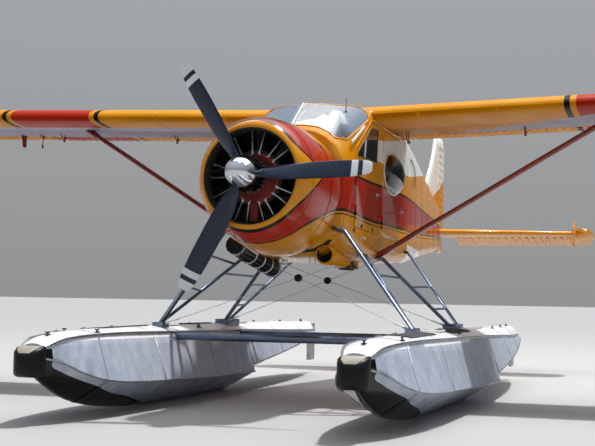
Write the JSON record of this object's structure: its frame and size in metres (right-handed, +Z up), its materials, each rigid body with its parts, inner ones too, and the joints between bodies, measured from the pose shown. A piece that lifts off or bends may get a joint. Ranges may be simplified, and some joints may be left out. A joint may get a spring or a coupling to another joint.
{
  "type": "single-engine high-wing utility floatplane",
  "caption": "High-wing radial-engine utility aircraft on twin metal floats, with opening doors, turning propeller and moving control surfaces.",
  "frame": {"origin": "centre of the bounding box at the bottom of the float keels, on the floor it stands on", "axes": "+X to the aircraft's left wing, -Y to the nose, +Z up"},
  "size_m": [14.626, 10.4306, 3.6042],
  "materials": {
    "painted_yellow": "gloss",
    "painted_white": "gloss",
    "painted_red": "gloss",
    "bare_aluminium": "satin",
    "polished_spinner": "polished",
    "blade_paint": "satin",
    "engine_metal": "dull",
    "exhaust_steel": "heat-stained",
    "strut_steel": "polished",
    "clear_glazing": "clear",
    "black_rubber": "worn",
    "panel_black": "matte",
    "seat_cover": "woven"
  },
  "bodies": {
    "airframe": {"fuselage_shell": "painted_yellow", "tail_cone": "painted_yellow", "engine_cowling": "painted_yellow", "engine": "engine_metal", "exhaust_pipe": "exhaust_steel", "nose_scoop": "painted_yellow", "windshield": "clear_glazing", "instrument_panel": "panel_black", "seat_left": "seat_cover", "seat_right": "seat_cover", "bench_seat": "seat_cover", "tailplane": "painted_yellow", "fin": "painted_white", "spreader_bar_front": "strut_steel", "spreader_bar_rear": "strut_steel", "wing_left": "painted_yellow", "wing_right": "painted_yellow", "wing_strut_left": "painted_red", "wing_strut_right": "painted_red", "float_left": "bare_aluminium", "float_right": "bare_aluminium", "float_bumper_left": "black_rubber", "float_bumper_right": "black_rubber", "float_struts_left": "strut_steel", "float_struts_right": "strut_steel"},
    "propeller": {"propeller_blades": "blade_paint", "spinner": "polished_spinner"},
    "crew_door_left": {"crew_door_left": "painted_yellow", "crew_window_left": "clear_glazing"},
    "cabin_door_left": {"cabin_door_left": "painted_yellow", "bubble_window_left": "clear_glazing"},
    "crew_door_right": {"crew_door_right": "painted_yellow", "crew_window_right": "clear_glazing"},
    "cabin_door_right": {"cabin_door_right": "painted_yellow", "bubble_window_right": "clear_glazing"},
    "aileron_left": {"aileron_left": "painted_white"},
    "aileron_right": {"aileron_right": "painted_white"},
    "flap_left": {"flap_left": "painted_yellow"},
    "flap_right": {"flap_right": "painted_yellow"},
    "elevator_left": {"elevator_left": "painted_yellow"},
    "elevator_right": {"elevator_right": "painted_yellow"},
    "water_rudder_left": {"water_rudder_left": "bare_aluminium"},
    "water_rudder_right": {"water_rudder_right": "bare_aluminium"},
    "rudder": {"rudder": "painted_white"}
  },
  "joints": [
    {"name": "propeller_spin", "type": "hinge", "parent": "airframe", "child": "propeller", "pos_m": [0, -3.7655, 2.27], "axis": [0, -0.9986, 0.0523], "continuous": true},
    {"name": "crew_door_left_hinge", "type": "hinge", "parent": "airframe", "child": "crew_door_left", "pos_m": [0.62482, -2.12251, 2.28403], "axis": [0, -0.0523, -0.9986], "range_deg": [0, 65]},
    {"name": "cabin_door_left_hinge", "type": "hinge", "parent": "airframe", "child": "cabin_door_left", "pos_m": [0.632, -1.06397, 2.22856], "axis": [0, -0.0523, -0.9986], "range_deg": [0, 60]},
    {"name": "crew_door_right_hinge", "type": "hinge", "parent": "airframe", "child": "crew_door_right", "pos_m": [-0.62482, -2.12251, 2.28403], "axis": [0, 0.0523, 0.9986], "range_deg": [0, 65]},
    {"name": "cabin_door_right_hinge", "type": "hinge", "parent": "airframe", "child": "cabin_door_right", "pos_m": [-0.632, -1.06397, 2.22856], "axis": [0, 0.0523, 0.9986], "range_deg": [0, 60]},
    {"name": "aileron_left_hinge", "type": "hinge", "parent": "airframe", "child": "aileron_left", "pos_m": [5.4977, -0.24191, 3.20164], "axis": [0.9996, 0.0016, 0.0296], "range_deg": [-20, 20]},
    {"name": "aileron_right_hinge", "type": "hinge", "parent": "airframe", "child": "aileron_right", "pos_m": [-5.4977, -0.24191, 3.20164], "axis": [0.9996, -0.0016, -0.0296], "range_deg": [-20, 20]},
    {"name": "flap_left_hinge", "type": "hinge", "parent": "airframe", "child": "flap_left", "pos_m": [2.29911, -0.24688, 3.10683], "axis": [-0.9996, -0.0016, -0.0296], "range_deg": [0, 50]},
    {"name": "flap_right_hinge", "type": "hinge", "parent": "airframe", "child": "flap_right", "pos_m": [-2.29911, -0.24688, 3.10683], "axis": [-0.9996, 0.0016, 0.0296], "range_deg": [0, 50]},
    {"name": "elevator_left_hinge", "type": "hinge", "parent": "airframe", "child": "elevator_left", "pos_m": [1.2, 4.65552, 2.069], "axis": [1, 0, 0], "range_deg": [-5, 41]},
    {"name": "elevator_right_hinge", "type": "hinge", "parent": "airframe", "child": "elevator_right", "pos_m": [-1.2, 4.65552, 2.069], "axis": [1, 0, 0], "range_deg": [-5, 41]},
    {"name": "rudder_hinge", "type": "hinge", "parent": "airframe", "child": "rudder", "pos_m": [0, 4.66486, 2.62928], "axis": [0, 0.0523, 0.9986], "range_deg": [-25, 25]},
    {"name": "water_rudder_left_hinge", "type": "hinge", "parent": "airframe", "child": "water_rudder_left", "pos_m": [1.45, 2.7945, 0.55], "axis": [0, 0, 1], "range_deg": [-25, 25]},
    {"name": "water_rudder_right_hinge", "type": "hinge", "parent": "airframe", "child": "water_rudder_right", "pos_m": [-1.45, 2.7945, 0.55], "axis": [0, 0, 1], "range_deg": [-25, 25]}
  ],
  "couplings": [
    {"joint": "aileron_right_hinge", "follows": "aileron_left_hinge", "ratio": -1},
    {"joint": "flap_right_hinge", "follows": "flap_left_hinge", "ratio": 1},
    {"joint": "elevator_right_hinge", "follows": "elevator_left_hinge", "ratio": 1},
    {"joint": "water_rudder_left_hinge", "follows": "rudder_hinge", "ratio": 1},
    {"joint": "water_rudder_right_hinge", "follows": "rudder_hinge", "ratio": 1}
  ]
}
